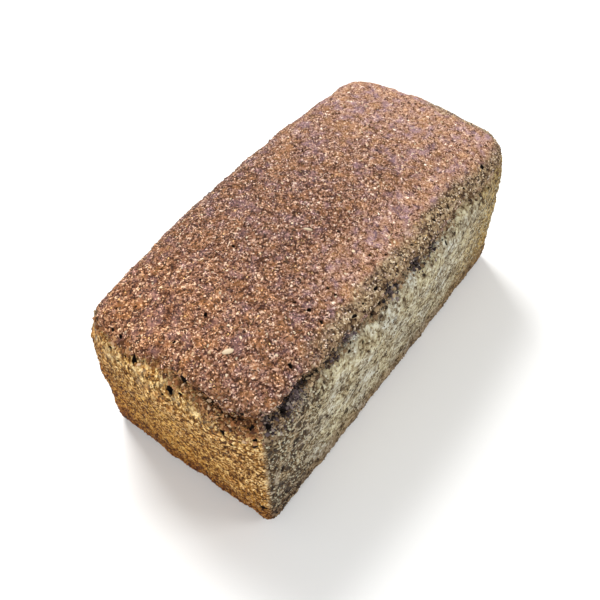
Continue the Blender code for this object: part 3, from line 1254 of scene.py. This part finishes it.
def sown_clear(count, likely, seed):
    """As sown, less the places where a bit would cover a hole, and a draw for what follows."""
    places, normals = sown(count, likely, seed)
    clear = np.ones(count, bool)
    for middle, radius in zip(hole_places, hole_radii):
        clear &= np.linalg.norm(places - middle, axis=1) > HOLE_RIM * radius
    return np.random.default_rng(seed), places[clear], normals[clear]


# The flat base is one large face, so bits that are sown on faces of four corners miss it.
quads = relief_places[np.array([ring for ring in uncut_rings if len(ring) == 4])]
print("crust faces to sow on:", len(quads))

# %% One bit, copied
BIT_TILT = 0.45
CRUMB_TILT = 0.5
FLAKE_TILT = 0.10
MAP_EDGE = 0.08
ROUGH_PER_SIZE = 1.2


def ball_map(corners, triangles):
    """A flat map of a ball: its top in the middle, its bottom point spread round the rim."""
    shape = corners[triangles]
    middle = shape.mean(axis=1)
    down = np.arccos(np.clip(shape[:, :, 2], -1, 1)) / math.pi
    turn = np.arctan2(shape[:, :, 1], shape[:, :, 0])
    own_turn = np.arctan2(middle[:, 1], middle[:, 0])[:, None]
    turn = np.where(down > 0.99, own_turn, turn)
    return np.stack((down * np.cos(turn), down * np.sin(turn)), axis=2) * 0.5 + 0.5


def lay_map(obj, shape_map, count):
    """Gives each copy its own cell of the map, so that its colour can be kept in a picture."""
    side = math.ceil(math.sqrt(count))
    number = np.arange(count)
    cell = np.column_stack((number % side, number // side))
    flat = shape_map.reshape(-1, 2)
    spread = (cell[:, None, :] + MAP_EDGE + (1 - 2 * MAP_EDGE) * flat[None]) / side
    layer = obj.data.uv_layers.new(name="OFBake")
    layer.data.foreach_set("uv", spread.astype(np.float32).ravel())


def lay_colours(obj, colours, corner_count):
    made = obj.data.color_attributes.new(name="bit_colour", type="FLOAT_COLOR", domain="POINT")
    full = np.column_stack((colours, np.ones(len(colours))))
    made.data.foreach_set("color", np.repeat(full, corner_count, axis=0).astype(np.float32).ravel())


def tilted(frames, draw, amount):
    """Frames leaned over by a random amount, as bits that landed in the dough."""
    lean = frames + amount * draw.normal(size=frames.shape)
    third = lean[:, :, 2] / np.linalg.norm(lean[:, :, 2], axis=1)[:, None]
    first = lean[:, :, 0] - third * (lean[:, :, 0] * third).sum(axis=1)[:, None]
    first /= np.linalg.norm(first, axis=1)[:, None]
    return np.stack((first, np.cross(third, first), third), axis=2)


def lay_bits(name, divisions, places, normals, sizes, colours, tilt, seed, look, rough=0, first=()):
    """Joins copies of one ball, stretched, turned, leaned and roughened, in one object.

    The first copies may be given their turns. The rest turn at random.
    """
    draw = np.random.default_rng(seed)
    ball = unit_ball(divisions)
    turns = draw.uniform(0, math.pi, len(places))
    turns[: len(first)] = first
    frames = tilted(frames_on(normals, turns), draw, tilt)
    points, faces = copies(*ball, places, frames, sizes)
    if rough:
        points = roughened(points, places, rough, ROUGH_PER_SIZE * float(sizes.mean()))
    made = mesh_object(name, points, faces)
    made.data.materials.append(look)
    lay_map(made, ball_map(*ball), len(places))
    lay_colours(made, colours, len(ball[0]))
    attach(made, "root")
    print(name, "bits:", len(places))
    return made


def bit_finish(name, roughness, gloss):
    finish = Finish(name, roughness, gloss)
    finish.colour(finish.attribute("bit_colour", "Color"))
    return finish.material


def mixed(first, second, share):
    """The first colours where the share is 0 and the second where it is 1."""
    return first * (1 - share) + second * share


def tinted_by(colours, tint, share):
    """Colours multiplied by a tint as far as the share says."""
    return colours * (1 - share * (1 - np.array(tint)))


def from_stops(picks, stops):
    """Colours read from a ramp's stops at the given picks, 0 to 1."""
    at = [place for place, _ in stops]
    parts = [np.interp(picks, at, [colour[i] for _, colour in stops]) for i in range(3)]
    return np.column_stack(parts)


print("the bit is ready to copy")

# %% Grit on the top crust
GRIT_KINDS = (
    # name, count, mean pick from the crust's browns, spread of the picks
    ("crust_grit_brown", 9600, 0.48, 0.16),
    ("crust_grit_dark", 9200, 0.07, 0.10),
    ("crust_grit_pale", 9600, 0.81, 0.18),
)
GRIT_HALF_LENGTH = (0.34, 0.78)
GRIT_HALF_WIDTH = (0.20, 0.38)
GRIT_HALF_THICKNESS = (0.18, 0.32)
FAR_EVENER = 0.70
FAR_PICK = 0.57


def on_top(middle):
    return (middle[:, 2] - tear_height(middle) > -0.3 * MM) * 1.0


def tinted(colours, tint, share):
    """Colours turned towards another hue, each kept about as light as it was."""
    lightness = colours.mean(axis=1) / np.mean(tint)
    return colours * (1 - share[:, None]) + np.array(tint) * (share * lightness)[:, None]


def lay_grit():
    look = bit_finish("crushed_grain", 0.6, 0.35)
    for number, (name, count, mean, spread) in enumerate(GRIT_KINDS):
        seed = GRIT_SEED + number
        draw, places, normals = sown_clear(count, on_top, seed)
        count = len(places)
        ranges = (GRIT_HALF_LENGTH, GRIT_HALF_WIDTH, GRIT_HALF_THICKNESS)
        sizes = MM * np.column_stack([draw.uniform(*both, count) for both in ranges])
        far = far_share(places)
        picks = np.clip(draw.normal(mean, spread, count), 0, 1)
        evened = picks + (FAR_PICK - picks) * FAR_EVENER * far
        colours = from_stops(evened, TOP_BITS)
        patch = patches(places)
        warmer = np.clip(1.1 * patch + draw.normal(0.05, 0.15, count), 0, 1)
        cooler = np.clip(draw.normal(0.08, 0.15, count) - 1.1 * patch, 0, 1)
        golden = draw.uniform(0, 1, count) > 0.95
        colours = tinted(colours, ORANGE, 0.6 * warmer * (1 - 0.5 * far))
        colours = tinted(colours, MAUVE, 0.6 * cooler)
        colours = tinted(colours, GOLD, 0.7 * golden * (1 - 0.6 * far))
        # Paler grit towards the far end and margin: partly paler crust, partly painted light.
        colours = tinted_by(colours, FAR_TOP_PALE_AND_LIT, far[:, None])
        colours = tinted_by(colours, WARM_TOP_TINT, warm_share(places)[:, None])
        rim = rim_at(places, places[:, 2] - tear_height(places))[:, None]
        crumb = tinted(from_stops(picks, RIM_BITS), GOLD, 0.8 * golden + 0.3 * warmer)
        colours = mixed(colours, tinted(crumb, MAUVE, 0.4 * cooler), rim)
        lay_bits(name, 1, places, normals, sizes, colours, BIT_TILT, seed, look)


lay_grit()

# %% Crumbs in the tear
CRUMB_KINDS = (
    # name, count, ball divisions, shortest and longest half length in mm, roughness
    ("tear_grit", 5600, 1, 0.25, 0.55, 0),
    ("tear_crumbs", 1100, 2, 0.45, 1.15, 1.1),
)
CRUMB_SEED = 31
CRACK_CLEAR = 0.0011
PALEST_CRUMB = 0.75


def in_tear(middle):
    above = middle[:, 2] - tear_height(middle)
    by_place = 1 + 0.9 * near_corner(middle) - 0.5 * near_end(middle) + charred_at(middle)
    under = ease((-crack_line(middle, above) - CRACK_CLEAR) / CRACK_CLEAR)
    return band_at(middle, above) * by_place * (1 - crack_share(middle) * (1 - under))


def lay_crumbs():
    look = bit_finish("torn_crumb", 0.85, 0.25)
    for number, (name, wanted, divisions, short, long, rough) in enumerate(CRUMB_KINDS):
        seed = CRUMB_SEED + number
        draw, places, normals = sown_clear(wanted, in_tear, seed)
        count = len(places)
        length = draw.uniform(short, long, count) * MM
        width = draw.uniform(0.6, 0.9, count)
        height = draw.uniform(0.4, 0.75, count)
        sizes = length[:, None] * np.column_stack((np.ones(count), width, height))
        at_end = on_end(places)[:, None]
        picks = draw.uniform(0, 1, count)
        ends = from_stops(picks**0.8, CRUMB_END)
        burnt = (charred_at(places) > draw.uniform(0.0, 1.2, count))[:, None]
        golden = from_stops(PALEST_CRUMB * picks, RIM_BITS)
        # The burnt crumbs' palest colours are painted glints.
        sides = mixed(golden, from_stops(picks, CRUMB_SIDE_WITH_GLINTS), burnt)
        colours = mixed(sides, ends, at_end)
        lay_bits(name, divisions, places, normals, sizes, colours, CRUMB_TILT, seed, look, rough)


lay_crumbs()

# %% Flakes of bran and grain
FLAKES = (
    # x, y, length, width in mm, turn in degrees
    (-82.0, -17.9, 5.0, 2.3, -36),
    (-14.3, -6.7, 4.4, 1.4, -58),
)
TOP_FLAKES = 170
WALL_FLAKES = 9400
FLAKE_SEED = 41
FLAKE_PALE = (0.760, 0.600, 0.400)
FOOT_TOP = 0.026
GRANULE_STRETCH = (0.85, 1.0, 2.4)
LOW_END_FROM = 0.062
LOW_END_RUN = 0.050


def on_wall(middle):
    above = middle[:, 2] - tear_height(middle)
    shown = 1 + 1.5 * near_ridge(middle) + 0.5 * (middle[:, 0] < -HALF_LENGTH)
    return (above < -3 * MM) * (middle[:, 2] > 2 * MM) * shown


def flake_sizes(draw, count):
    length = draw.uniform(0.4, 0.9, count) * MM
    width = length * draw.uniform(0.45, 0.8, count)
    return np.column_stack((length, width, draw.uniform(0.10, 0.20, count) * MM))


def lay_top_flakes():
    """Two large pale flakes where they show, and small ones strewn over the top."""
    draw = np.random.default_rng(FLAKE_SEED)
    large, large_normals = on_crust([(x * MM, y * MM, OVER_TOP) for x, y, *_ in FLAKES])
    small, small_normals = sown(TOP_FLAKES, on_top, FLAKE_SEED)
    sizes = flake_sizes(draw, len(large) + len(small))
    sizes[: len(large)] = [(long / 2 * MM, wide / 2 * MM, 0.5 * MM) for *_, long, wide, _ in FLAKES]
    shade = draw.uniform(0.45, 1.0, len(sizes))[:, None]
    turns = [math.radians(turn + 90) for *_, turn in FLAKES]
    places = np.concatenate((large, small))
    normals = np.concatenate((large_normals, small_normals))
    colours = np.array(FLAKE_PALE) * shade
    look = bit_finish("pale_grain", 0.5, 0.4)
    made = lay_bits(
        "pale_flakes", 2, places, normals, sizes, colours, FLAKE_TILT, FLAKE_SEED, look, first=turns
    )
    made.data.shade_smooth()


def lay_wall_flakes():
    """Granules and bits of bran that stand out of the walls, half of them dark."""
    seed = FLAKE_SEED + 1
    draw, places, normals = sown_clear(WALL_FLAKES, on_wall, seed)
    count = len(places)
    at_end = on_end(places)[:, None]
    dark = draw.uniform(0, 1, count) < 0.5
    picks = np.where(dark, draw.uniform(0.05, 0.40, count), draw.uniform(0.60, 0.90, count))
    low = at_end * ease((LOW_END_FROM - places[:, 2]) / LOW_END_RUN)[:, None]
    ends = tinted_by(from_stops(picks, END_BITS), LOW_END_TINT, low)
    greyed = (near_ridge(places) * dark)[:, None]
    sides = tinted_by(from_stops(picks, SIDE_BITS), RIDGE_TINT, greyed)
    # Darker towards the foot: partly browner crust, partly painted shade near the floor.
    foot_and_shade = ease((FOOT_TOP - places[:, 2]) / FOOT_TOP)[:, None]
    colours = tinted_by(mixed(sides, ends, at_end), FOOT_BROWN_AND_SHADE, foot_and_shade)
    sizes = flake_sizes(draw, count) * np.array(GRANULE_STRETCH)
    look = bit_finish("bran_flake", 0.8, 0.2)
    lay_bits("wall_flakes", 1, places, normals, sizes, colours, FLAKE_TILT, seed, look)


lay_top_flakes()
lay_wall_flakes()
